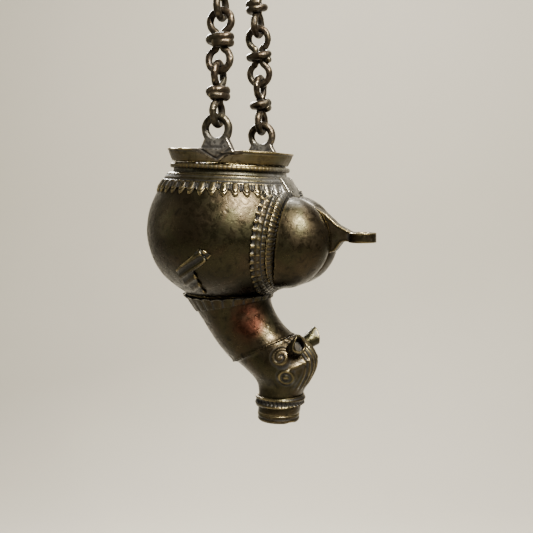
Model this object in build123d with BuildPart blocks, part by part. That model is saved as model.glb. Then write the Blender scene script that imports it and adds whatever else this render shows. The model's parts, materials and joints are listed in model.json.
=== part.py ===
"""Hanging animal-shaped censer: a round pot with a flared mouth, a rump with a tail ring,
a neck that curves down to an animal's head, two rim lugs and two chains of wrapped wire links.

Frame: millimetres, +Z up, +X towards the tail, the two chains at -Y (near) and +Y (far).
The origin is the centre of the suspension ring. Heights named *_Z are in that frame, and
heights inside the vessel are measured from the rim through the SIDE and POT planes.
"""
from build123d import *
from math import cos, radians, sin, sqrt
import os

os.makedirs("parts", exist_ok=True)

# ---- chain wire and links -------------------------------------------------------------
WIRE_R = 1.9
EYE_R = 5.85              # centre line of a link's eye
EYE_OFFSET = 9.85         # link centre to eye centre
LEG_X = 1.95              # centre line of the two wires side by side in the waist
FILLET_R = 2.3            # where an eye runs into the waist
WRAP_R = 1.8              # wire of the collar wound around the waist
SLACK = 0.15              # play between two wires that bear on each other
PIN_SPAN = 2 * (EYE_OFFSET + EYE_R)
HOOK = 2 * WIRE_R + SLACK
EYE_SPAN = PIN_SPAN - 2 * HOOK
CHAIN_LEAN = 6.0          # each chain leans in towards the yoke

# ---- vessel ---------------------------------------------------------------------------
RIM_Z = -146.0            # height of the rim's centre line plane
RIM_X = -5.9
RIM_TILT = 3.0
RIM_TOP_R = 35.0
RIM_FOOT_R = 31.9
RIM_H = 6.9
NECK_R = 31.2
NECK_H = 12.6             # rim top to the pot's shoulder
WALL = 2.4
POT_R = 44.4
POT_MID = -44.5           # height of the pot's widest circle
POT_UP = 45.0             # half heights of the upper and lower ellipse
POT_DOWN = 39.8
RELIEF = 1.3              # height of the applied ornament
SEAT = 0.02               # solder gap under applied pieces

SEAM_TILT = 7.0           # the rump's axis dips towards the tail
SEAM_NEAR = 34.4          # edges of the seam bead, from the pot's centre along the rump's axis
SEAM_FAR = 37.6
SEAM_RELIEF = 2.4
BAND_NEAR = 27.9          # edges of the harness band in front of it
BAND_FAR = 34.1
LOBE_DIST = 36.0
LOBE_R = 25.0
LOBE_HALF_W = 19.0
LOBE_Y = 8.0

LUG_Y = 33.0
LUG_Z = 9.6               # centre of the lug's ring above the rim plane
LUG_RING_R = 6.4
LUG_WIRE_R = 2.1

# ---- top fitting ----------------------------------------------------------------------
HANG_R = 12.5
HANG_WIRE_R = 2.5
RING_R = 7.0
RING_WIRE_R = 2.0
SWIVEL_EYE_R = 5.0
SHANK_R = 2.5
SHANK_PLAY = 0.05
BOSS_R = 5.6
BOSS_H = 8.0
BOSS_TOP_Z = -32.3


def side_plane(x, z, tilt=0.0):
    """Plane of symmetry with its origin at (x, z): local x towards the tail, local y up."""
    angle = radians(tilt)
    return Plane(origin=(x, 0, z), x_dir=(cos(angle), 0, -sin(angle)), z_dir=(0, -1, 0))


SIDE = side_plane(0, RIM_Z)
POT = side_plane(RIM_X, RIM_Z - 0.3, RIM_TILT)
POT_BACK = Plane(origin=POT.origin, x_dir=-POT.x_dir, z_dir=-POT.z_dir)
POT_AXIS = Axis(POT.origin, POT.y_dir)
POT_TOP = Plane(origin=POT.origin, x_dir=POT.x_dir, z_dir=POT.y_dir)
POT_CENTRE = POT.from_local_coords(Vector(0, POT_MID, 0))
RUMP = side_plane(POT_CENTRE.X, POT_CENTRE.Z, SEAM_TILT)


def save(piece, name):
    """Label a finished piece and write its STEP file."""
    piece.part.label = name
    export_step(piece.part, f"parts/{name}.step")


def pot_radius(height, grow=0.0):
    """Outer radius of the pot at a height below the rim plane."""
    half = (POT_UP if height > POT_MID else POT_DOWN) + grow
    return (POT_R + grow) * sqrt(1 - ((height - POT_MID) / half) ** 2)


def pot_solid(grow=0.0):
    """The pot's filled body of revolution, grown outwards for the ornament that sits on it."""
    with BuildPart() as body:
        with BuildSketch(POT_BACK):
            with BuildLine():
                top_r = pot_radius(-NECK_H, grow)
                steps = [-NECK_H, -18, -25, -34]
                upper = [(pot_radius(h, grow), h) for h in steps] + [(POT_R + grow, POT_MID)]
                Spline(upper, tangents=[(1, -0.9), (0, -1)])
                lower = [(pot_radius(h, grow), h) for h in (POT_MID, -58, -70, -80)]
                foot = (0, POT_MID - POT_DOWN - grow)
                Spline(lower + [foot], tangents=[(0, -1), (-1, 0)])
                Polyline(foot, (0, -NECK_H), (top_r, -NECK_H))
            make_face()
        revolve(axis=POT_AXIS)
    return body.part


RUMP_FLAT = Plane(origin=RUMP.origin, x_dir=RUMP.x_dir, z_dir=RUMP.y_dir)


def haunch(inset=0.0):
    """The far half of the rump: a spheroid turned about the cross axis, cut at the crease."""
    centre = RUMP.from_local_coords(Vector(LOBE_DIST, 0, 0))
    with BuildPart() as body:
        with BuildSketch(RUMP_FLAT):
            with Locations((LOBE_DIST, LOBE_Y)):
                Ellipse(LOBE_R - inset, LOBE_HALF_W - inset)
                Rectangle(LOBE_R * 2, LOBE_HALF_W * 2, align=(Align.MAX, Align.CENTER), mode=Mode.SUBTRACT)
        revolve(axis=Axis(centre, (0, 1, 0)))
        with BuildSketch(Plane.XZ):
            Rectangle(10 * POT_R, 10 * POT_R)
        extrude(amount=POT_R, mode=Mode.SUBTRACT)
    return body.part


# Each station: x and height of the centre, lean of the axis from straight down towards the
# tail, half depth in the plane of symmetry and half width across it.
NECK_STATIONS = [
    (-9.0, -66.0, 0.0, 27.5, 26.5),
    (-7.0, -78.0, 4.0, 24.2, 23.5),
    (-4.0, -85.5, 11.0, 20.9, 20.0),
    (0.3, -94.0, 19.0, 19.2, 18.2),
    (7.4, -103.5, 24.0, 18.6, 16.5),
    (13.5, -108.8, 26.0, 18.9, 16.0),
]
HEAD_STATIONS = [
    (13.5, -108.8, 26.0, 18.9, 16.0),
    (24.2, -116.4, 16.0, 19.6, 16.2),
    (26.0, -124.6, 9.0, 15.9, 14.2),
    (24.2, -131.0, 4.0, 13.0, 12.2),
    (23.0, -137.4, 3.0, 11.9, 11.6),
    (22.2, -144.0, -1.0, 11.6, 11.4),
]
MUZZLE_H = 4.6


def station_plane(x, z, lean):
    """Cross-section plane of the neck or head; its normal follows the axis downwards."""
    angle = radians(lean)
    return Plane(
        origin=(x, 0, RIM_Z + z), x_dir=(cos(angle), 0, sin(angle)), z_dir=(sin(angle), 0, -cos(angle))
    )


def tube_solid(stations, inset=0.0, overrun=0.0):
    """Loft through elliptical stations; overrun carries both ends past their planes."""
    shifts = [-overrun] + [0] * (len(stations) - 2) + [overrun]
    with BuildPart() as body:
        for (x, z, lean, half_depth, half_width), shift in zip(stations, shifts):
            with BuildSketch(station_plane(x, z, lean).offset(shift)):
                Ellipse(half_depth - inset, half_width - inset)
        loft()
    return body.part


POT_OUTER = pot_solid()
POT_SEAT = pot_solid(SEAT)

with BuildPart() as rump_outer:
    add(haunch())
    mirror(about=Plane.XZ)

NECK_OUTER = tube_solid(NECK_STATIONS)
HEAD_OUTER = tube_solid(HEAD_STATIONS)

# The skin that all relief ornament on the pot is cut from.
with BuildPart() as relief_skin:
    add(pot_solid(RELIEF))
    add(POT_SEAT, mode=Mode.SUBTRACT)
    add(rump_outer.part, mode=Mode.SUBTRACT)
    add(NECK_OUTER, mode=Mode.SUBTRACT)

# ---- pot ------------------------------------------------------------------------------
with BuildPart() as pot_body:
    add(POT_OUTER)
    with BuildSketch(POT):
        with BuildLine():
            Polyline((0, -RIM_H), (NECK_R, -RIM_H), (NECK_R, -NECK_H - 1), (0, -NECK_H - 1), close=True)
        make_face()
    revolve(axis=POT_AXIS)
    add(pot_solid(-WALL), mode=Mode.SUBTRACT)
    with BuildSketch(POT_TOP.offset(-RIM_H)):
        Circle(NECK_R - WALL)
    extrude(amount=-12, mode=Mode.SUBTRACT)
save(pot_body, "pot_body")

# ---- rim and the bead under it --------------------------------------------------------


def rim_solid(grow=0.0):
    """The flared mouth band."""
    with BuildPart() as body:
        with BuildSketch(POT):
            with BuildLine():
                Polyline(
                    (RIM_TOP_R - 2.8 - grow, grow), (RIM_TOP_R + grow, grow),
                    (RIM_FOOT_R + grow, -RIM_H + SEAT), (NECK_R - WALL, -RIM_H + SEAT), close=True,
                )
            make_face()
        revolve(axis=POT_AXIS)
    return body


rim_band = rim_solid()
save(rim_band, "rim_band")

with BuildPart() as rim_bead:
    with BuildSketch(POT):
        with Locations((NECK_R + 0.5, -9.2)):
            Circle(1.4)
    revolve(axis=POT_AXIS)
    with BuildSketch(POT_TOP):
        Circle(NECK_R + 0.02)
    extrude(amount=-20, mode=Mode.SUBTRACT)
save(rim_bead, "rim_bead")

# ---- scalloped shoulder collar, open where the harness tab comes up to the neck --------
LOBES = 40
LOBE_RING_R = 36.6
LOBE_TIP_R = 3.1
TAB_HALF_ANGLE = 17.0
TAB_REACH = 60.0

with BuildPart() as shoulder_collar:
    add(relief_skin.part)
    with BuildSketch(POT_TOP):
        Circle(LOBE_RING_R)
        with PolarLocations(LOBE_RING_R, LOBES):
            Circle(LOBE_TIP_R)
        with BuildLine():
            half_w = TAB_REACH * sin(radians(TAB_HALF_ANGLE))
            Polyline((0, 0), (TAB_REACH, half_w), (TAB_REACH, -half_w), close=True)
        make_face(mode=Mode.SUBTRACT)
    extrude(amount=-POT_UP, mode=Mode.INTERSECT)
save(shoulder_collar, "shoulder_collar")

with BuildPart() as harness_tab:
    add(relief_skin.part)
    with BuildSketch(POT_TOP):
        with Locations((35.6, 0)):
            RectangleRounded(9, 17, 2)
    extrude(amount=-POT_UP, mode=Mode.INTERSECT)
save(harness_tab, "harness_tab")

def girth_half(near, far, grow):
    """The far half of the grown pot between two planes square to the rump's axis."""
    start = Plane(RUMP.from_local_coords(Vector(near, 0, 0)), x_dir=(0, 1, 0), z_dir=RUMP.x_dir)
    with BuildPart() as slab:
        add(pot_solid(grow))
        with BuildSketch(start):
            with Locations((POT_R / 2, 0)):
                Rectangle(POT_R, 2 * POT_R)
        extrude(amount=far - near, mode=Mode.INTERSECT)
    return slab.part


def girth_ring(near, far, height):
    """A ring of relief around the body, square to the rump's axis, that stops below the collar.
    The far half is made and mirrored."""
    with BuildPart() as ring:
        add(girth_half(near, far, height))
        add(POT_SEAT, mode=Mode.SUBTRACT)
        add(NECK_OUTER, mode=Mode.SUBTRACT)
        with BuildSketch(POT_TOP):
            Circle(LOBE_RING_R + LOBE_TIP_R + 0.2)
        extrude(amount=POT_MID, mode=Mode.SUBTRACT)
        mirror(about=Plane.XZ)
    return ring


seam_bead = girth_ring(SEAM_NEAR, SEAM_FAR, SEAM_RELIEF)
save(seam_bead, "seam_bead")
harness_band = girth_ring(BAND_NEAR, BAND_FAR, RELIEF)
save(harness_band, "harness_band")

# The rump's front edge is let in over both rings, so it starts clear of the harness band.
RUMP_SEAT_NEAR = BAND_NEAR - 10

with BuildPart() as rump_shell:
    add(haunch())
    add(haunch(WALL), mode=Mode.SUBTRACT)
    add(POT_SEAT, mode=Mode.SUBTRACT)
    add(girth_half(RUMP_SEAT_NEAR, SEAM_FAR + SEAT, SEAM_RELIEF + SEAT), mode=Mode.SUBTRACT)
    mirror(about=Plane.XZ)
save(rump_shell, "rump_shell")

# ---- tail: a wedge on the rump that ends in a flat ring ----------------------------------
TAIL_EYE = (69.0, -46.6)
TAIL_RING_R = 7.2
TAIL_HOLE_R = 3.0
TAIL_RING_H = 5.4
TAIL_HALF_W = 3.6

with BuildPart() as tail_ring:
    with BuildSketch(SIDE.offset(-TAIL_HALF_W)):
        with BuildLine():
            Polyline(
                (42, -30), (49.5, -34.2), (56, -40.0), (63.5, -43.9), (63.5, -48.4),
                (58.3, -48.9), (54.6, -54.0), (42, -58), close=True,
            )
        make_face()
    extrude(amount=2 * TAIL_HALF_W)
    with BuildSketch(Plane(origin=(TAIL_EYE[0], 0, RIM_Z + TAIL_EYE[1]))):
        Circle(TAIL_RING_R)
    extrude(amount=TAIL_RING_H / 2, both=True)
    with BuildSketch(Plane(origin=(TAIL_EYE[0], 0, RIM_Z + TAIL_EYE[1]))):
        Circle(TAIL_HOLE_R)
    extrude(amount=TAIL_RING_H / 2, both=True, mode=Mode.SUBTRACT)
    add(rump_outer.part, mode=Mode.SUBTRACT)
save(tail_ring, "tail_ring")

# ---- folded forelegs in relief -------------------------------------------------------------


def foreleg(side):
    """A bent leg lying on the pot's flank, hoof towards the tail."""
    with BuildPart() as leg:
        add(relief_skin.part)
        with BuildSketch(SIDE):
            with BuildLine():
                Polyline(
                    (-14.5, -77), (-19.5, -71), (-21.5, -63.5), (-11.5, -56.5), (-5.5, -51),
                    (1.0, -54.5), (-4.5, -59.5), (-10.5, -63.5), (-9.0, -76), close=True,
                )
            make_face()
        extrude(amount=-side * 60, mode=Mode.INTERSECT)
    return leg


near_foreleg = foreleg(-1)
save(near_foreleg, "near_foreleg")
far_foreleg = foreleg(1)
save(far_foreleg, "far_foreleg")

with BuildPart() as neck_tube:
    add(NECK_OUTER)
    add(tube_solid(NECK_STATIONS, WALL, 0.5), mode=Mode.SUBTRACT)
    add(POT_SEAT, mode=Mode.SUBTRACT)
save(neck_tube, "neck_tube")

with BuildPart() as neck_collar:
    add(tube_solid([(x, z, lean, a + 1.4, b + 1.4) for x, z, lean, a, b in NECK_STATIONS[:3]]))
    add(tube_solid(NECK_STATIONS[:4]), mode=Mode.SUBTRACT)
    add(pot_solid(RELIEF + SEAT), mode=Mode.SUBTRACT)
save(neck_collar, "neck_collar")

with BuildPart() as head_shell:
    add(HEAD_OUTER)
    add(tube_solid(HEAD_STATIONS, WALL, 0.5), mode=Mode.SUBTRACT)
save(head_shell, "head_shell")

with BuildPart() as muzzle_tip:
    x, z, lean, half_depth, half_width = HEAD_STATIONS[-1]
    tip = station_plane(x, z, lean)
    with BuildSketch(tip):
        Ellipse(half_depth, half_width)
    extrude(amount=MUZZLE_H)
    fillet(muzzle_tip.faces().sort_by(Axis.Z)[0].edges(), 1.6)
save(muzzle_tip, "muzzle_tip")

with BuildPart() as noseband:
    ring_plane = station_plane(23.0, -134.2, 3.0)
    with BuildSketch(ring_plane):
        Ellipse(13.6, 13.2)
    extrude(amount=5.2)
    add(HEAD_OUTER, mode=Mode.SUBTRACT)
save(noseband, "noseband")


EAR_LENGTH = 12.5


def ear(side):
    """A short cup that opens outwards from the poll."""
    base = Vector(32.5, side * 9.5, RIM_Z - 108.5)
    aim = Vector(0.62, side * 0.55, 0.56).normalized()
    root = Plane(origin=base, z_dir=aim)
    with BuildPart() as cup:
        with BuildSketch(root):
            Circle(3.9)
        with BuildSketch(root.offset(EAR_LENGTH)):
            Circle(4.9)
        loft()
        with BuildSketch(root.offset(EAR_LENGTH)):
            Circle(3.3)
        extrude(amount=-5, mode=Mode.SUBTRACT)
        add(HEAD_OUTER, mode=Mode.SUBTRACT)
    return cup


near_ear = ear(-1)
save(near_ear, "near_ear")
far_ear = ear(1)
save(far_ear, "far_ear")

# ---- rim lugs ----------------------------------------------------------------------------------
LEAF = 1.5
RIM_SEAT = rim_solid(SEAT).part

# The skin around the rim and neck that the lugs' leaf plates are cut from.
with BuildPart() as rim_skin:
    with BuildSketch(POT):
        with BuildLine():
            Polyline(
                (RIM_TOP_R + SEAT, 0), (RIM_TOP_R + LEAF, 0), (RIM_FOOT_R + LEAF, -RIM_H - 1.5),
                (RIM_FOOT_R + LEAF, -12), (NECK_R + 0.5, -12), (NECK_R + 0.5, -10.8),
                (NECK_R + 2.0, -10.8), (NECK_R + 2.0, -7.7), (RIM_FOOT_R + SEAT, -RIM_H), close=True,
            )
        make_face()
    revolve(axis=POT_AXIS)


def lug(side):
    """A leaf plate on the rim's outside that rises into a ring for the chain."""
    centre = (0, side * LUG_Y, RIM_Z + LUG_Z)
    with BuildPart() as body:
        add(rim_skin.part)
        with BuildSketch(SIDE):
            with BuildLine():
                Polyline(
                    (-14.5, 3), (-13, -1.4), (-5, -4.2), (0, -7.6), (5, -4.2), (13, -2.8), (14.5, 3), close=True
                )
            make_face()
        extrude(amount=-side * 60, mode=Mode.INTERSECT)
        with BuildSketch(SIDE.offset(-side * (LUG_Y - LUG_WIRE_R))):
            with BuildLine():
                Polyline((-10, -2.6), (10, -2.6), (6.2, 4.6), (-6.2, 4.6), close=True)
            make_face()
        extrude(amount=-side * 2 * LUG_WIRE_R)
        add(RIM_SEAT, mode=Mode.SUBTRACT)
        with BuildSketch(SIDE.offset(-side * (LUG_Y - LUG_WIRE_R))):
            with Locations((0, LUG_Z)):
                Circle(LUG_RING_R)
        extrude(amount=-side * 2 * LUG_WIRE_R, mode=Mode.SUBTRACT)
        with BuildSketch(Plane(origin=centre, x_dir=(1, 0, 0), z_dir=(0, 0, 1))):
            with Locations((LUG_RING_R, 0)):
                Circle(LUG_WIRE_R)
        revolve(axis=Axis(centre, (0, 1, 0)))
    return body


near_lug = lug(-1)
save(near_lug, "near_lug")
far_lug = lug(1)
save(far_lug, "far_lug")

# ---- chain links ---------------------------------------------------------------------------------
LUG_PIN_Z = RIM_Z + LUG_Z + LUG_RING_R - LUG_WIRE_R - WIRE_R - SLACK
LINK_CENTRES = (PIN_SPAN / 2, PIN_SPAN + EYE_SPAN / 2, PIN_SPAN + EYE_SPAN + PIN_SPAN / 2)


def chain_point(side, distance):
    """A point on a chain's centre line, measured up from the lug's pin."""
    lean = radians(CHAIN_LEAN)
    return Vector(0, side * (LUG_Y - distance * sin(lean)), LUG_PIN_Z + distance * cos(lean))


def link_plane(side, index):
    """Sketch plane of a link: local y runs up the chain. Links 1 and 3 stand across links 2."""
    lean = radians(CHAIN_LEAN)
    up = Vector(0, -side * sin(lean), cos(lean))
    across = Vector(1, 0, 0) if index == 1 else Vector(0, cos(lean), side * sin(lean))
    return Plane(origin=chain_point(side, LINK_CENTRES[index]), x_dir=across, z_dir=across.cross(up))


def link(plane):
    """A closed wire with an eye at each end and its two legs side by side in the waist."""
    reach = LEG_X + FILLET_R
    rise = sqrt((EYE_R + FILLET_R) ** 2 - reach ** 2)
    waist = EYE_OFFSET - rise
    share = EYE_R / (EYE_R + FILLET_R)
    meet_x, meet_y = reach * share, EYE_OFFSET - rise * share
    middle = (Vector(-1, 0) + Vector(-reach, rise).normalized()).normalized() * FILLET_R
    mid_x, mid_y = reach + middle.X, waist + middle.Y
    with BuildPart() as body:
        with BuildLine(plane) as path:
            for sx in (-1, 1):
                Line((sx * LEG_X, -waist), (sx * LEG_X, waist))
                for sy in (-1, 1):
                    ThreePointArc((sx * LEG_X, sy * waist), (sx * mid_x, sy * mid_y), (sx * meet_x, sy * meet_y))
            for sy in (-1, 1):
                ThreePointArc((-meet_x, sy * meet_y), (0, sy * (EYE_OFFSET + EYE_R)), (meet_x, sy * meet_y))
        wire = path.wires()[0]
        with BuildSketch(Plane(origin=wire @ 0, z_dir=wire % 0)):
            Circle(WIRE_R)
        sweep(path=wire)
    return body


def wrap(plane):
    """The collar wound twice around a link's waist."""
    with BuildPart() as body:
        for height in (-1, 1):
            ring_at = Plane(
                origin=plane.from_local_coords(Vector(0, height * (WRAP_R - 0.05), 0)),
                x_dir=plane.x_dir, z_dir=plane.y_dir,
            )
            with BuildLine(ring_at) as path:
                radius = WIRE_R + WRAP_R + SEAT
                Line((-LEG_X, -radius), (LEG_X, -radius))
                Line((-LEG_X, radius), (LEG_X, radius))
                for sx in (-1, 1):
                    ThreePointArc((sx * LEG_X, -radius), (sx * (LEG_X + radius), 0), (sx * LEG_X, radius))
            wire = path.wires()[0]
            with BuildSketch(Plane(origin=wire @ 0, z_dir=wire % 0)):
                Circle(WRAP_R)
            sweep(path=wire)
    return body


for side, name in ((-1, "near"), (1, "far")):
    for index in range(3):
        place = link_plane(side, index)
        save(link(place), f"{name}_link_{index + 1}")
        save(wrap(place), f"{name}_wrap_{index + 1}")

# ---- yoke ------------------------------------------------------------------------------------------
YOKE_EYE_R = 6.0
YOKE_WIRE_R = 2.1
YOKE_PIN = chain_point(1, 2 * PIN_SPAN + EYE_SPAN)
YOKE_EYE_Y = YOKE_PIN.Y
YOKE_EYE_Z = YOKE_PIN.Z - (WIRE_R + YOKE_WIRE_R + SLACK) + YOKE_EYE_R
BOSS_Z = BOSS_TOP_Z - BOSS_H

with BuildPart() as yoke:
    for side in (-1, 1):
        eye = Vector(0, side * YOKE_EYE_Y, YOKE_EYE_Z)
        with BuildSketch(Plane(origin=eye, x_dir=(1, 0, 0), z_dir=(0, 0, 1))):
            with Locations((YOKE_EYE_R, 0)):
                Circle(YOKE_WIRE_R)
        revolve(axis=Axis(eye, (0, 1, 0)))
        with BuildLine() as arm:
            Spline(
                [(0, side * YOKE_EYE_Y, YOKE_EYE_Z + YOKE_EYE_R), (0, side * 3, BOSS_Z + BOSS_H / 2)],
                tangents=[(0, 0, 1), (0, -side, 0)],
            )
        with BuildSketch(Plane(origin=(0, side * YOKE_EYE_Y, YOKE_EYE_Z + YOKE_EYE_R), x_dir=(1, 0, 0), z_dir=(0, 0, 1))):
            Ellipse(3.0, 2.3)
        sweep(path=arm.wires()[0])
    with BuildSketch(Plane.XY.offset(BOSS_Z)):
        Circle(BOSS_R)
    extrude(amount=BOSS_H)
    with BuildSketch(Plane.XY.offset(BOSS_Z - 1)):
        Circle(SHANK_R + SHANK_PLAY)
    extrude(amount=BOSS_H + 2, mode=Mode.SUBTRACT)
save(yoke, "yoke")

# ---- swivel, connecting ring and suspension ring ------------------------------------------------------
RING_Z = -HANG_R + HANG_WIRE_R + RING_WIRE_R + SLACK - RING_R
SWIVEL_EYE_Z = RING_Z - RING_R + RING_WIRE_R + WIRE_R + SLACK - SWIVEL_EYE_R
HEAD_R = 4.6
HEAD_H = 3.0
FLANGE_R = 4.2


def wire_ring(centre_z, radius, wire_r, normal):
    """A plain wire ring that stands upright; normal is its hole's direction."""
    with BuildPart() as body:
        flat = Vector(1, 0, 0) if normal == (0, 1, 0) else Vector(0, 1, 0)
        with BuildSketch(Plane(origin=(0, 0, centre_z), x_dir=flat, z_dir=(0, 0, 1))):
            with Locations((radius, 0)):
                Circle(wire_r)
        revolve(axis=Axis((0, 0, centre_z), normal))
    return body


suspension_ring = wire_ring(0, HANG_R, HANG_WIRE_R, (1, 0, 0))
save(suspension_ring, "suspension_ring")
connecting_ring = wire_ring(RING_Z, RING_R, RING_WIRE_R, (0, 1, 0))
save(connecting_ring, "connecting_ring")

with BuildPart() as swivel_eye:
    add(wire_ring(SWIVEL_EYE_Z, SWIVEL_EYE_R, WIRE_R, (1, 0, 0)).part)
    with BuildSketch(Plane.XY.offset(BOSS_TOP_Z + 0.3)):
        Circle(FLANGE_R)
    extrude(amount=1.6)
    with BuildSketch(Plane.XY.offset(BOSS_Z - 0.05)):
        Circle(SHANK_R)
    extrude(amount=SWIVEL_EYE_Z - SWIVEL_EYE_R - BOSS_Z + 0.05)
save(swivel_eye, "swivel_eye")

with BuildPart() as swivel_head:
    with BuildSketch(Plane.XY.offset(BOSS_Z - 0.05)):
        Circle(HEAD_R)
    extrude(amount=-HEAD_H)
    fillet(swivel_head.faces().sort_by(Axis.Z)[0].edges(), 1.2)
save(swivel_head, "swivel_head")
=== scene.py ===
"""Looks of the hanging animal-shaped censer: every CAD piece is re-cut as a finer cast or forged
mesh with its ornament, and gets an aged bronze. Lengths inside the functions are millimetres."""
import json
import math
from itertools import product

import bpy
import numpy as np
from mathutils import Matrix, Vector


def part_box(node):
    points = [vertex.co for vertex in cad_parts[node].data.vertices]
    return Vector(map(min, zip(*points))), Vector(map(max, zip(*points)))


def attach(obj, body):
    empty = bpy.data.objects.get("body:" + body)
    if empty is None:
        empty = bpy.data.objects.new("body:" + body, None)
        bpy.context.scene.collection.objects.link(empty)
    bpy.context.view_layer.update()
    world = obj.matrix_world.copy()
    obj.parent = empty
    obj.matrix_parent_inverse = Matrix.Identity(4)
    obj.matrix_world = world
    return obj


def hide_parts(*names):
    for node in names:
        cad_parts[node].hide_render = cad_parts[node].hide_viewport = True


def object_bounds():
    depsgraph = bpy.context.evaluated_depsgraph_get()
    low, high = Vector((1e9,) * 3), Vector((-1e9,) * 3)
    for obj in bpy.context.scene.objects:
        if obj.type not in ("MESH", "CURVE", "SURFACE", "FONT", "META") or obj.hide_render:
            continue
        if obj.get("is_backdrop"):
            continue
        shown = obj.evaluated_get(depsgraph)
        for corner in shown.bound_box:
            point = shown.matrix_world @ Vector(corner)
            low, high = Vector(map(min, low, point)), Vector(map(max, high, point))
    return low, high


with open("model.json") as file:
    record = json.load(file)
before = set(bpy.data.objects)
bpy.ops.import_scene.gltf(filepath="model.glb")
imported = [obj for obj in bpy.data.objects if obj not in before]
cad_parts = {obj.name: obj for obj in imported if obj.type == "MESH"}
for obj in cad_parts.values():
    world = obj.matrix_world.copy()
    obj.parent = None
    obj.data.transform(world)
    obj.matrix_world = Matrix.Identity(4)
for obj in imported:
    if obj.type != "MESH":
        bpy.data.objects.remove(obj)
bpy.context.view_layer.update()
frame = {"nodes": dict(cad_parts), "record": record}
BODY_OF = {node: body for body, nodes in frame["record"]["behaviour"]["bodies"].items() for node in nodes}
MM = 0.001

# ---- reference lines of the vessel, as in the CAD ----------------------------------------
RIM_Z = -146.0
RIM_CENTRE = np.array([-5.9, 0.0, RIM_Z - 0.3])
RIM_TILT = math.radians(3.0)
POT_OUT = np.array([math.cos(RIM_TILT), 0.0, -math.sin(RIM_TILT)])
POT_UP = np.array([math.sin(RIM_TILT), 0.0, math.cos(RIM_TILT)])
POT_MID = -44.5
POT_CENTRE = RIM_CENTRE + POT_UP * POT_MID
SEAM_TILT = math.radians(7.0)
RUMP_OUT = np.array([math.cos(SEAM_TILT), 0.0, -math.sin(SEAM_TILT)])
RUMP_UP = np.array([math.sin(SEAM_TILT), 0.0, math.cos(SEAM_TILT)])
CHAIN_LEAN = math.radians(6.0)
THROAT_LEAN = math.radians(26.0)
THROAT = (13.5, -108.8)        # x, and height from the rim, of the plane between neck and head
EAR_ROOT = (32.5, 9.5, -108.5)
EAR_AIM = (0.62, 0.55, 0.56)
EAR_LENGTH = 12.5
EYE = (31.2, -121.2)           # x and height from the rim, as for the next two
CURL = (28.3, -110.6)
CHEEK = (20.5, -127.5)

# ---- patches of other colour: a grey one, and a painted red reflection; centre, with its height from the rim, and half sizes ---
GREY_PATCH = ((31.0, 0.0, -20.0), (15.0, 26.0, 13.0))
# A painted reflection: reddish-brown light painted onto the near side of the neck.
RED_REFLECTION_PATCH = ((10.0, -16.0, -92.0), (9.0, 14.0, 12.0))

# ---- winding around a link's waist ------------------------------------------------------
WRAP_TURNS = 1.45
WRAP_CLIMB = 4.2
WRAP_WIDE = 5.3
WRAP_DEEP = 3.9
WRAP_WIRE = 2.25
WRAP_STEPS = 150


# ---- small numeric tools ------------------------------------------------------------------
def step(x, low, high):
    """0 below low, 1 above high, smooth between."""
    t = np.clip((x - low) / (high - low), 0, 1)
    return t * t * (3 - 2 * t)


def hump(x, width):
    """A soft ridge of height 1 centred on 0."""
    return np.exp(-((x / width) ** 2))


def from_centre(phase):
    """Distance from the nearest whole number: 0 in the middle of a repeat, 0.5 between two."""
    return np.abs(phase - np.round(phase))


SKEW = np.array(Matrix.Rotation(1.1, 3, Vector((1, 2, 3))))


def value_noise(points, cell, seed):
    """Smooth noise from -1 to 1 on a repeating lattice, askew to the object's axes."""
    lattice = np.random.RandomState(seed).rand(32, 32, 32)
    grid = points @ SKEW / cell
    base = np.floor(grid).astype(int)
    part = grid - base
    part = part * part * (3 - 2 * part)
    total = np.zeros(len(points))
    for corner in product((0, 1), repeat=3):
        weight = np.ones(len(points))
        for axis in range(3):
            weight *= part[:, axis] if corner[axis] else 1 - part[:, axis]
        index = (base + corner) % 32
        total += weight * lattice[index[:, 0], index[:, 1], index[:, 2]]
    return total * 2 - 1


def pot_coords(p):
    """Angle about the pot's axis and height from the rim plane."""
    q = p - RIM_CENTRE
    return np.arctan2(q[:, 1], q @ POT_OUT), q @ POT_UP


def girth_coords(p):
    """Angle about the rump's axis and distance along it from the pot's centre."""
    q = p - POT_CENTRE
    return np.arctan2(q[:, 1], q @ RUMP_UP), q @ RUMP_OUT


# ---- ornament: height in mm added along the surface normal -----------------------------------
def cast_skin(p, n):
    """Slight waviness and pitting left by casting and age."""
    pits = step(value_noise(p, 2.1, 5) + 0.4 * value_noise(p, 14, 6), 0.85, 1.1)
    waves = 0.12 * value_noise(p, 13, 1) + 0.05 * value_noise(p, 5.3, 2) + 0.02 * value_noise(p, 2.2, 4)
    return waves - 0.18 * pits


def forged_skin(p, n):
    """Hammer facets and uneven drawing of wire."""
    pits = step(value_noise(p, 1.5, 9), 0.35, 0.7)
    return 0.18 * value_noise(p, 4.2, 7) + 0.11 * value_noise(p, 1.8, 8) - 0.14 * pits


def pot_skin(p, n):
    return cast_skin(p, n) + 0.22 * value_noise(p, 19, 12)


def throat(p):
    """Signed distance from the plane where the neck meets the head."""
    x, z = p[:, 0], p[:, 2] - RIM_Z
    return (x - THROAT[0]) * math.sin(THROAT_LEAN) - (z - THROAT[1]) * math.cos(THROAT_LEAN)


def throat_fill(p, n):
    """Closes the seam between the neck and the head, which run on as one casting."""
    facing = np.abs(n @ np.array([math.sin(THROAT_LEAN), 0.0, -math.cos(THROAT_LEAN)]))
    return 0.55 * hump(throat(p), 0.8) * step(-facing, -0.95, -0.6)


def neck_skin(p, n):
    return pot_skin(p, n) + throat_fill(p, n)


def rim_skin(p, n):
    angle, height = pot_coords(p)
    turning = 0.05 * np.sin(height * 7 + 0.6 * value_noise(p, 6, 3))
    return 0.6 * cast_skin(p, n) + turning - 0.25 * hump(height + 1.6, 0.35)


def bead_ticks(p, n):
    angle, height = pot_coords(p)
    return 0.5 * cast_skin(p, n) - 0.16 * hump(0.5 - from_centre(angle * 84 / math.tau), 0.13)


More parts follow.
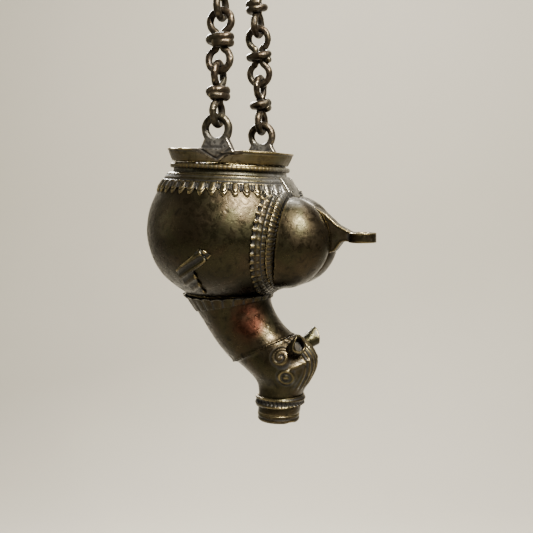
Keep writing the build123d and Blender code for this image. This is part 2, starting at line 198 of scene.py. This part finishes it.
def shoulder_leaves(p, n):
    """Scalloped lobes with a cut outline and a raised line above them."""
    angle, height = pot_coords(p)
    across = from_centre(angle * 40 / math.tau)
    low = step(-height, 16.6, 18.0)
    lobe = 0.30 * np.cos(across * math.tau) - 0.15
    outline = np.hypot(across / 0.40, (height + 19.0) / 3.4)
    cuts = -0.40 * hump(0.5 - across, 0.07) - 0.40 * hump(outline - 0.8, 0.13)
    lines = -0.35 * hump(height + 16.3, 0.4) + 0.25 * hump(height + 13.6, 0.4)
    return 0.5 * cast_skin(p, n) + low * (lobe + cuts) + lines


def band_pattern(p, n):
    """Scalloped leading edge, a row of beads and short bars."""
    angle, along = girth_coords(p)
    across = from_centre(angle * 50 / math.tau)
    scallop = step(-along, -30.1, -29.3) * (0.45 * np.cos(across * math.tau) - 0.25)
    bead = 0.40 * hump(np.hypot((along - 31.1), across * 4.3), 1.0)
    bars = -0.35 * step(along, 32.2, 32.7) * hump(0.5 - across, 0.14)
    line = -0.35 * hump(along - 32.3, 0.25)
    return 0.5 * cast_skin(p, n) + scallop + bead + bars + line


def seam_pattern(p, n):
    angle, along = girth_coords(p)
    round_over = -0.8 * ((along - 36.0) / 1.6) ** 2
    return round_over + 0.12 * np.cos(angle * 70) + 0.4 * cast_skin(p, n)


def collar_pattern(p, n):
    """Scallops around the base of the neck."""
    angle = np.arctan2(p[:, 1], p[:, 0] + 5.0)
    across = from_centre(angle * 24 / math.tau)
    edge = step(-(p[:, 2] - RIM_Z), 76.0, 80.0)
    ribs = 0.08 * np.cos(across * math.tau) - 0.35 * edge * hump(0.5 - across, 0.12)
    return 0.5 * cast_skin(p, n) + ribs - 0.5 * edge


def head_features(p, n):
    """Eyes, brows, cheek curls, forelock grooves and the hollow under the cheek."""
    x, z = p[:, 0], p[:, 2] - RIM_Z
    side = step(np.abs(n[:, 1]), 0.25, 0.6)
    eye = np.hypot(x - EYE[0], z - EYE[1])
    socket = 0.5 * step(-eye, -5.5, -3.5)
    eyes = socket + 0.55 * hump(eye - 3.3, 0.85) + 1.1 * hump(eye, 1.5) - 0.3 * hump(eye - 2.2, 0.5)
    curl = np.hypot(x - CURL[0], z - CURL[1])
    turn = np.arctan2(z - CURL[1], x - CURL[0])
    spiral = hump(from_centre(curl / 3.0 + turn / math.tau) - 0.5, 0.16) * step(-curl, -4.8, -4.0)
    curls = 1.3 * step(-curl, -5.6, -3.2) - 0.45 * spiral
    brow = 0.8 * hump((z + 116.4) - 0.45 * (x - 34.0), 1.4) * step(x, 29.5, 33.0)
    cheek = -0.9 * hump(np.hypot((x - CHEEK[0]) / 1.3, z - CHEEK[1]), 4.2)
    front = step(n[:, 0], 0.15, 0.5) * step(z, -131.0, -126.0)
    locks = np.cos(p[:, 1] * math.tau / 3.1 + 0.25 * (z + 115))
    forelock = front * 0.45 * locks * step(-np.abs(p[:, 1]), -11, -8)
    return 0.7 * cast_skin(p, n) + side * (eyes + curls + brow + cheek) + forelock + throat_fill(p, n)


def noseband_pattern(p, n):
    z = p[:, 2] - RIM_Z + 0.05 * (p[:, 0] - 23)
    angle = np.arctan2(p[:, 1], p[:, 0] - 23.0)
    ridges = 0.5 * hump(z + 135.0, 0.7) + 0.5 * hump(z + 138.9, 0.6)
    ticks = -0.7 * hump(0.5 - from_centre(angle * 34 / math.tau), 0.17) * hump(z + 136.9, 1.2)
    return ridges + ticks - 0.3 * hump(z + 136.9, 1.0) + 0.3 * cast_skin(p, n)


def muzzle_features(p, n):
    """Nostrils, and a mouth cut into the end of the muzzle."""
    x, z = p[:, 0], p[:, 2] - RIM_Z
    nostril = np.hypot(p[:, 0] - 30.5, np.abs(p[:, 1]) - 5.5)
    under = step(-n[:, 2], 0.5, 0.9)
    mouth = -1.3 * under * hump(x - 16.5 - 0.02 * p[:, 1] ** 2, 1.0) * step(-np.abs(p[:, 1]), -9, -7)
    return mouth - 1.5 * under * hump(nostril, 1.6) - 0.35 * hump(z + 146.2, 0.35) + 0.6 * cast_skin(p, n)


def leg_features(p, n):
    """A cleft hoof, the fold of the knee and a raised sinew."""
    x, z = p[:, 0], p[:, 2] - RIM_Z
    along = (x + 21.5) * 0.87 + (z + 63.5) * 0.49
    across = (z + 63.5) * 0.87 - (x + 21.5) * 0.49
    hoof = -0.8 * hump(along - 20.0, 0.45) - 0.6 * hump(across - 1.5, 0.4) * step(along, 20.0, 21.0)
    sinew = 0.35 * np.cos(across * 1.5)
    return hoof + sinew + 0.6 * cast_skin(p, n)


def lug_features(p, n):
    """A cut line that follows the leaf's edge, with hammer marks on the ring."""
    x, z = p[:, 0], p[:, 2] - RIM_Z
    outline = np.abs(x) / 14.0 - (z + 7.6) / 9.0
    leaf = step(-z, -0.5, 0.5) * step(np.abs(n[:, 1]), 0.6, 0.8)
    return 0.9 * forged_skin(p, n) - 0.5 * leaf * hump(outline + 0.22, 0.07)


def rump_features(p, n):
    """Crease between the haunches."""
    crease = -0.8 * hump(p[:, 1], 1.2)
    return crease + 0.9 * cast_skin(p, n) + 0.35 * value_noise(p, 16, 21)


# ---- meshes ---------------------------------------------------------------------------------------
def mesh_arrays(mesh):
    """Vertex positions and normals of a mesh, in mm."""
    points = np.empty(len(mesh.vertices) * 3)
    normals = np.empty(len(mesh.vertices) * 3)
    mesh.vertices.foreach_get("co", points)
    mesh.vertex_normals.foreach_get("vector", normals)
    return points.reshape(-1, 3) / MM, normals.reshape(-1, 3)


def neighbour_mean(values, edges, count):
    """Mean of each vertex's neighbours."""
    total = np.zeros((count, values.shape[1]))
    number = np.zeros(count)
    for a, b in ((0, 1), (1, 0)):
        np.add.at(total, edges[:, a], values[edges[:, b]])
        np.add.at(number, edges[:, a], 1)
    return total / np.maximum(number, 1)[:, None]


def patch(points, place, soft, full):
    """1 inside an ellipsoid's share full, 0 outside its share soft."""
    centre, half = place
    share = np.linalg.norm((points - (0.0, 0.0, RIM_Z) - centre) / np.array(half), axis=1)
    return step(-share, -soft, -full)


def tone_attributes(mesh):
    """Paint wear on ridges (dimmed lower down, as painted shade), dirt in hollows, painted shade underneath,
    the casting's grey patches and a painted red reflection.
    """
    points, normals = mesh_arrays(mesh)
    edges = np.empty(len(mesh.edges) * 2, dtype=int)
    mesh.edges.foreach_get("vertices", edges)
    edges = edges.reshape(-1, 2)
    count = len(points)
    reach = np.square(points[edges[:, 0]] - points[edges[:, 1]]).sum(axis=1).mean()
    bend = ((points - neighbour_mean(points, edges, count)) * normals).sum(axis=1)[:, None]
    for _ in range(3):
        bend = neighbour_mean(bend, edges, count)
    curve = 4 * bend[:, 0] / reach
    curve -= np.median(curve)
    # Painted shade: the rubbed brightness of ridges is cut to 0.4 low on the vessel and rises to full higher
    # up.
    low_ridge_shade = 0.4 + 0.6 * step(points[:, 2] - RIM_Z, -70, -35)
    joined = 1 - hump(throat(points), 2.4)
    relief = np.clip(0.5 + 0.9 * joined * np.where(curve > 0, low_ridge_shade, 1) * curve, 0, 1)
    grey = patch(points, GREY_PATCH, 1.25, 0.6)
    lug_foot = step(np.abs(points[:, 1]), 24, 28) * hump(points[:, 2] - RIM_Z, 6) * hump(points[:, 0], 12)
    grey = np.maximum(grey, 0.8 * lug_foot)
    # Painted reflection: the red patch stands for a reflection on the neck, not a colour of the bronze.
    painted_red_reflection = patch(points, RED_REFLECTION_PATCH, 1.3, 0.5)
    # Painted shade: darker on faces that point downwards.
    underside_shade = step(-normals[:, 2], -0.15, 0.8)
    for name, values in (("relief", relief), ("grey", grey), ("painted_red_reflection", painted_red_reflection), ("underside_shade", underside_shade)):
        layer = mesh.attributes.new(name, "FLOAT", "POINT")
        layer.data.foreach_set("value", values.astype(np.float32))


def settle(obj, node, material):
    """Attach a finished piece to its body in place of its CAD node."""
    tone_attributes(obj.data)
    obj.data.materials.clear()
    obj.data.materials.append(material)
    obj.data.shade_smooth()
    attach(obj, BODY_OF[node])
    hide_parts(node)


def leaf_ear(p):
    """Draws a cup-shaped ear out to a leaf's point on its upper edge."""
    side = np.sign(p[:, 1].mean())
    aim = np.array(EAR_AIM) * (1, side, 1)
    aim /= np.linalg.norm(aim)
    root = np.array(EAR_ROOT) * (1, side, 1) + (0, 0, RIM_Z)
    across = np.cross(aim, [0.0, 0.0, 1.0])
    across /= np.linalg.norm(across)
    over = np.cross(across, aim)
    along = (p - root) @ aim
    wide, high = (p - root) @ across, (p - root) @ over
    tip = step(along, 5.0, EAR_LENGTH)
    narrow = 1 - 0.45 * tip * step(high, -3.0, 4.0)
    slant = along - 3.4 * tip * step(-high, -4.0, 4.5)
    return root + slant[:, None] * aim + (wide * narrow)[:, None] * across + high[:, None] * over


RESHAPED = {"near_ear": leaf_ear, "far_ear": leaf_ear}


def recut(node, voxel, relief, material, melt=4):
    """A fine new mesh over a CAD node: remeshed, softened like a casting, then worked in relief."""
    source = frame["nodes"][node]
    rough = bpy.data.objects.new(f"{node}_rough", source.data.copy())
    bpy.context.collection.objects.link(rough)
    remesh = rough.modifiers.new("remesh", "REMESH")
    remesh.mode = "VOXEL"
    remesh.voxel_size = voxel * MM
    soften = rough.modifiers.new("soften", "SMOOTH")
    soften.iterations = melt
    soften.factor = 0.5
    bpy.context.view_layer.update()
    mesh = bpy.data.meshes.new_from_object(rough.evaluated_get(bpy.context.evaluated_depsgraph_get()))
    bpy.data.objects.remove(rough)
    points, normals = mesh_arrays(mesh)
    points += normals * relief(points, normals)[:, None]
    if node in RESHAPED:
        points = RESHAPED[node](points)
    mesh.vertices.foreach_set("co", (points * MM).ravel())
    mesh.update()
    obj = bpy.data.objects.new(f"{node}_cast", mesh)
    bpy.context.collection.objects.link(obj)
    settle(obj, node, material)
    return obj


def tube_mesh(name, path, radii, sides=20):
    """A closed tube with rounded ends along a path of points."""
    tangents = np.gradient(path, axis=0)
    tangents /= np.linalg.norm(tangents, axis=1)[:, None]
    side = np.cross(tangents, [0.0, 0.0, 1.0])
    side /= np.linalg.norm(side, axis=1)[:, None]
    other = np.cross(side, tangents)
    turns = np.linspace(0, math.tau, sides, endpoint=False)
    rings = [
        centre + radius * (np.cos(turns)[:, None] * a + np.sin(turns)[:, None] * b)
        for centre, radius, a, b in zip(path, radii, side, other)
    ]
    faces = [
        (i * sides + j, (i + 1) * sides + j, (i + 1) * sides + (j + 1) % sides, i * sides + (j + 1) % sides)
        for i in range(len(path) - 1) for j in range(sides)
    ]
    caps = [tuple(range(sides)), tuple(reversed(range((len(path) - 1) * sides, len(path) * sides)))]
    mesh = bpy.data.meshes.new(name)
    mesh.from_pydata(np.vstack(rings).tolist(), [], faces + caps)
    return mesh


def winding(node, side, across, seed, material):
    """The thick wire wound around a link's waist, its blunt ends passing each other."""
    low, high = (np.array(corner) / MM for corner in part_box(node))
    centre = (low + high) / 2
    up = np.array([0.0, -side * math.sin(CHAIN_LEAN), math.cos(CHAIN_LEAN)])
    deep = np.cross(up, across)
    spin = np.linspace(0, WRAP_TURNS * math.tau, WRAP_STEPS)
    start = math.pi * (0.35 + 0.5 * seed)
    climb = (spin / spin[-1] - 0.5) * WRAP_CLIMB
    wander = 1 + 0.02 * np.sin(spin * 2.3 + seed)
    wide, high = WRAP_WIDE * wander * np.cos(spin + start), WRAP_DEEP * np.sin(spin + start)
    local = np.stack([wide, high, climb], axis=1)
    count = np.arange(WRAP_STEPS)
    blunt = np.sqrt(np.clip((np.minimum(count, count[::-1]) + 0.8) / 4.0, 0, 1))
    radii = WRAP_WIRE * blunt * (1 + 0.04 * np.sin(spin * 3.1 + seed))
    mesh = tube_mesh(f"{node}_wound", local, radii)
    frame_of = np.column_stack([across, deep, up])
    points, normals = mesh_arrays(mesh)
    points = (points * MM) @ frame_of.T + centre
    normals = normals @ frame_of.T
    points += normals * 1.1 * forged_skin(points, normals)[:, None]
    mesh.vertices.foreach_set("co", (points * MM).ravel())
    mesh.update()
    obj = bpy.data.objects.new(f"{node}_wound", mesh)
    bpy.context.collection.objects.link(obj)
    settle(obj, node, material)


# ---- materials --------------------------------------------------------------------------------------
class Nodes:
    """A short way to write a material's node tree."""

    def __init__(self, name):
        self.material = bpy.data.materials.new(name)
        self.material.use_nodes = True
        self.tree = self.material.node_tree
        self.shader = self.tree.nodes["Principled BSDF"]
        self.coords = self.add("ShaderNodeTexCoord").outputs["Object"]

    def shift(self, offset):
        """Moves the textures, so that two materials don't share the same mottling."""
        mapping = self.add("ShaderNodeMapping")
        mapping.inputs["Location"].default_value = (offset, offset * 0.7, 0)
        self.link(self.coords, mapping.inputs["Vector"])
        self.coords = mapping.outputs["Vector"]

    def add(self, kind, **settings):
        node = self.tree.nodes.new(kind)
        for key, value in settings.items():
            setattr(node, key, value)
        return node

    def link(self, source, target):
        self.tree.links.new(source, target)

    def feed(self, value, target):
        """A socket is linked, a number or colour is set."""
        if isinstance(value, bpy.types.NodeSocket):
            self.link(value, target)
        else:
            target.default_value = value

    def noise(self, scale, detail=6.0, rough=0.6, distort=0.0):
        node = self.add("ShaderNodeTexNoise")
        node.inputs["Scale"].default_value = scale
        node.inputs["Detail"].default_value = detail
        node.inputs["Roughness"].default_value = rough
        node.inputs["Distortion"].default_value = distort
        self.link(self.coords, node.inputs["Vector"])
        return node.outputs["Fac"]

    def cells(self, scale):
        node = self.add("ShaderNodeTexVoronoi")
        node.inputs["Scale"].default_value = scale
        self.link(self.coords, node.inputs["Vector"])
        return node.outputs["Distance"]

    def span(self, value, low, high, out_low=0.0, out_high=1.0):
        node = self.add("ShaderNodeMapRange", interpolation_type="SMOOTHSTEP")
        for index, number in enumerate((value, low, high, out_low, out_high)):
            self.feed(number, node.inputs[index])
        return node.outputs["Result"]

    def maths(self, operation, a, b):
        node = self.add("ShaderNodeMath", operation=operation)
        self.feed(a, node.inputs[0])
        self.feed(b, node.inputs[1])
        return node.outputs[0]

    def mix(self, amount, a, b):
        node = self.add("ShaderNodeMix", data_type="RGBA")
        self.feed(amount, node.inputs[0])
        self.feed(a, node.inputs[6])
        self.feed(b, node.inputs[7])
        return node.outputs[2]

    def attribute(self, name):
        return self.add("ShaderNodeAttribute", attribute_name=name).outputs["Fac"]


def aged_bronze(name, deep, body, olive, worn, polish, offset):
    """Old bronze: dark in the hollows, mottled brown and olive, rubbed bright on the ridges, with painted
    shade underneath and a painted red reflection.
    """
    m = Nodes(name)
    m.shift(offset)
    relief = m.attribute("relief")
    patches = m.noise(55, 8, 0.62, 0.4)
    mottle = m.noise(260, 7, 0.66, 0.6)
    speck = m.noise(900, 4, 0.7)
    colour = m.mix(m.span(patches, 0.42, 0.62), body, olive)
    colour = m.mix(m.span(mottle, 0.50, 0.72, 0, 0.75), colour, deep)
    rubbed = m.maths("MULTIPLY", m.span(relief, 0.55, 1.0), m.span(mottle, 0.70, 0.38, 0.15, 0.85))
    colour = m.mix(rubbed, colour, worn)
    silver = m.maths("MULTIPLY", m.attribute("grey"), m.span(mottle, 0.66, 0.44, 0.2, 0.75))
    colour = m.mix(silver, colour, (0.30, 0.29, 0.27, 1))
    # Painted reflection: a reddish-brown reflection painted into the colour of the neck.
    red_reflection_blend = m.maths("MULTIPLY", m.attribute("painted_red_reflection"), m.span(patches, 0.36, 0.58, 0.35, 0.9))
    colour = m.mix(red_reflection_blend, colour, (0.050, 0.016, 0.009, 1))
    # Painted shade: faces that point downwards are darkened towards the deep colour.
    underside_shading = m.maths("MULTIPLY", m.attribute("underside_shade"), m.span(patches, 0.3, 0.6, 0.55, 0.85))
    colour = m.mix(underside_shading, colour, deep)
    colour = m.mix(m.span(relief, 0.44, 0.10, 0, 0.92), colour, deep)
    colour = m.mix(m.span(speck, 0.64, 0.72, 0, 0.7), colour, deep)
    m.link(colour, m.shader.inputs["Base Color"])
    dirt = m.span(relief, 0.42, 0.1, 0, 0.22)
    rough = m.maths("ADD", m.span(mottle, 0.35, 0.7, polish, polish + 0.26), dirt)
    m.link(m.maths("SUBTRACT", rough, m.maths("MULTIPLY", rubbed, 0.10)), m.shader.inputs["Roughness"])
    m.link(m.span(relief, 0.2, 0.5, 0.55, 0.95), m.shader.inputs["Metallic"])
    grain = m.maths("ADD", m.maths("MULTIPLY", mottle, 0.6), m.maths("MULTIPLY", speck, 0.25))
    pits = m.span(m.cells(420), 0.0, 0.35)
    height = m.maths("ADD", grain, m.maths("MULTIPLY", pits, 0.25))
    bump = m.add("ShaderNodeBump")
    bump.inputs["Strength"].default_value = 0.35
    bump.inputs["Distance"].default_value = 0.0006
    m.link(height, bump.inputs["Height"])
    m.link(bump.outputs["Normal"], m.shader.inputs["Normal"])
    return m.material


def pale_stage(name, colour):
    m = Nodes(name)
    cloudy = m.span(m.noise(3, 3), 0.3, 0.7, 0, 0.35)
    m.link(m.mix(cloudy, colour, tuple(c * 0.93 for c in colour)), m.shader.inputs["Base Color"])
    m.shader.inputs["Roughness"].default_value = 0.9
    return m.material


CAST = aged_bronze(
    "cast_bronze", (0.004, 0.003, 0.002, 1), (0.036, 0.027, 0.015, 1), (0.036, 0.032, 0.016, 1),
    (0.28, 0.22, 0.11, 1), 0.25, 0.0
)
RIM = aged_bronze(
    "rim_bronze", (0.010, 0.007, 0.003, 1), (0.11, 0.082, 0.034, 1), (0.10, 0.085, 0.036, 1),
    (0.36, 0.28, 0.13, 1), 0.32, 3.1
)
CHAIN = aged_bronze(
    "chain_bronze", (0.006, 0.0045, 0.003, 1), (0.050, 0.036, 0.024, 1), (0.050, 0.043, 0.028, 1),
    (0.32, 0.26, 0.17, 1), 0.28, 7.7
)


# ---- pieces -------------------------------------------------------------------------------------------
# Each piece: voxel size of the new mesh, ornament, material and how often it is softened.
PIECES = {
    "pot_body": (0.8, pot_skin, CAST, 10),
    "rim_band": (0.5, rim_skin, RIM, 3),
    "rim_bead": (0.35, bead_ticks, RIM, 3),
    "shoulder_collar": (0.33, shoulder_leaves, CAST, 3),
    "harness_tab": (0.35, cast_skin, CAST, 8),
    "rump_shell": (0.6, rump_features, CAST, 8),
    "seam_bead": (0.33, seam_pattern, CAST, 4),
    "harness_band": (0.33, band_pattern, CAST, 4),
    "tail_ring": (0.4, cast_skin, CAST, 8),
    "near_foreleg": (0.3, leg_features, CAST, 8),
    "far_foreleg": (0.3, leg_features, CAST, 8),
    "neck_tube": (0.6, neck_skin, CAST, 6),
    "neck_collar": (0.33, collar_pattern, CAST, 10),
    "head_shell": (0.42, head_features, CAST, 5),
    "muzzle_tip": (0.38, muzzle_features, CAST, 4),
    "noseband": (0.3, noseband_pattern, CAST, 4),
    "near_ear": (0.35, cast_skin, CAST, 6),
    "far_ear": (0.35, cast_skin, CAST, 6),
    "near_lug": (0.38, lug_features, CHAIN, 6),
    "far_lug": (0.38, lug_features, CHAIN, 6),
    "yoke": (0.45, forged_skin, CHAIN, 6),
    "suspension_ring": (0.42, forged_skin, CHAIN, 3),
    "connecting_ring": (0.36, forged_skin, CHAIN, 3),
    "swivel_eye": (0.36, forged_skin, CHAIN, 3),
    "swivel_head": (0.36, forged_skin, CHAIN, 3),
}
for node, (voxel, relief, material, melt) in PIECES.items():
    recut(node, voxel, relief, material, melt)

for side, name in ((-1, "near"), (1, "far")):
    for index in (1, 2, 3):
        recut(f"{name}_link_{index}", 0.33, forged_skin, CHAIN, 3)
        lengthwise = np.array([0.0, math.cos(CHAIN_LEAN), side * math.sin(CHAIN_LEAN)])
        across = np.array([1.0, 0.0, 0.0]) if index == 2 else lengthwise
        winding(f"{name}_wrap_{index}", side, across, index + (side > 0), CHAIN)


# ---- stage, light and camera ------------------------------------------------------------------------------
def sweep_backdrop(low_z):
    """A pale floor that curves up into a wall behind the object."""
    depth = [-4.0, 0.9] + [0.9 + 0.5 * math.sin(a) for a in np.linspace(0.2, math.pi / 2, 8)] + [1.4]
    rise = [0, 0] + [0.5 * (1 - math.cos(a)) for a in np.linspace(0.2, math.pi / 2, 8)] + [2.4]
    points = [(x, y, low_z + z) for y, z in zip(depth, rise) for x in (-4.0, 4.0)]
    faces = [(2 * i, 2 * i + 1, 2 * i + 3, 2 * i + 2) for i in range(len(depth) - 1)]
    mesh = bpy.data.meshes.new("backdrop")
    mesh.from_pydata(points, [], faces)
    mesh.shade_smooth()
    mesh.materials.append(pale_stage("pale_plaster", (0.50, 0.465, 0.39, 1)))
    stage = bpy.data.objects.new("backdrop", mesh)
    stage.rotation_euler.z = math.radians(20)
    bpy.context.collection.objects.link(stage)
    stage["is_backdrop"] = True


def area_light(name, place, aim, size, power, colour):
    light = bpy.data.lights.new(name, "AREA")
    light.size = size
    light.energy = power
    light.color = colour
    lamp = bpy.data.objects.new(name, light)
    lamp.location = place
    lamp.rotation_euler = (Vector(aim) - Vector(place)).to_track_quat("-Z", "Y").to_euler()
    bpy.context.collection.objects.link(lamp)


def set_world(colour, strength):
    world = bpy.data.worlds.new("studio")
    world.use_nodes = True
    background = world.node_tree.nodes["Background"]
    background.inputs["Color"].default_value = colour
    background.inputs["Strength"].default_value = strength
    bpy.context.scene.world = world


def set_camera(target, distance, azimuth, pitch, lens):
    back = Vector((
        math.sin(azimuth) * math.cos(pitch), -math.cos(azimuth) * math.cos(pitch), math.sin(pitch)
    ))
    data = bpy.data.cameras.new("camera")
    data.lens = lens
    data.sensor_width = 36
    data.clip_start = 0.01
    camera = bpy.data.objects.new("camera", data)
    camera.location = Vector(target) + back * distance
    camera.rotation_euler = (-back).to_track_quat("-Z", "Y").to_euler()
    bpy.context.collection.objects.link(camera)
    bpy.context.scene.camera = camera


VESSEL_MIDDLE = (0.0, 0.0, -0.20)
FLOOR_DROP = 0.40
LIGHTS = {
    "key": ((0.55, -0.50, 0.46), VESSEL_MIDDLE, 0.26, 52, (1.0, 0.97, 0.88)),
    "fill": ((-0.75, -0.25, -0.05), VESSEL_MIDDLE, 0.5, 0.8, (0.95, 0.93, 0.72)),
    "back": ((-0.45, 0.60, 0.30), VESSEL_MIDDLE, 0.30, 22, (1.0, 0.97, 0.92)),
    "wall_wash": ((0.1, 0.35, 0.7), (0.2, 1.2, -0.2), 0.8, 26, (1.0, 0.97, 0.92)),
}
CAMERA_TARGET = (0.015, 0.0, (RIM_Z - 63.5) * MM)
CAMERA_DISTANCE = 0.477
CAMERA_AZIMUTH = math.radians(20)
CAMERA_PITCH = math.radians(5)
CAMERA_LENS = 58.58

sweep_backdrop(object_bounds()[0][2] - FLOOR_DROP)
set_world((0.80, 0.77, 0.70, 1), 0.22)
for name, (place, aim, size, power, colour) in LIGHTS.items():
    area_light(name, place, aim, size, power, colour)
set_camera(CAMERA_TARGET, CAMERA_DISTANCE, CAMERA_AZIMUTH, CAMERA_PITCH, CAMERA_LENS)
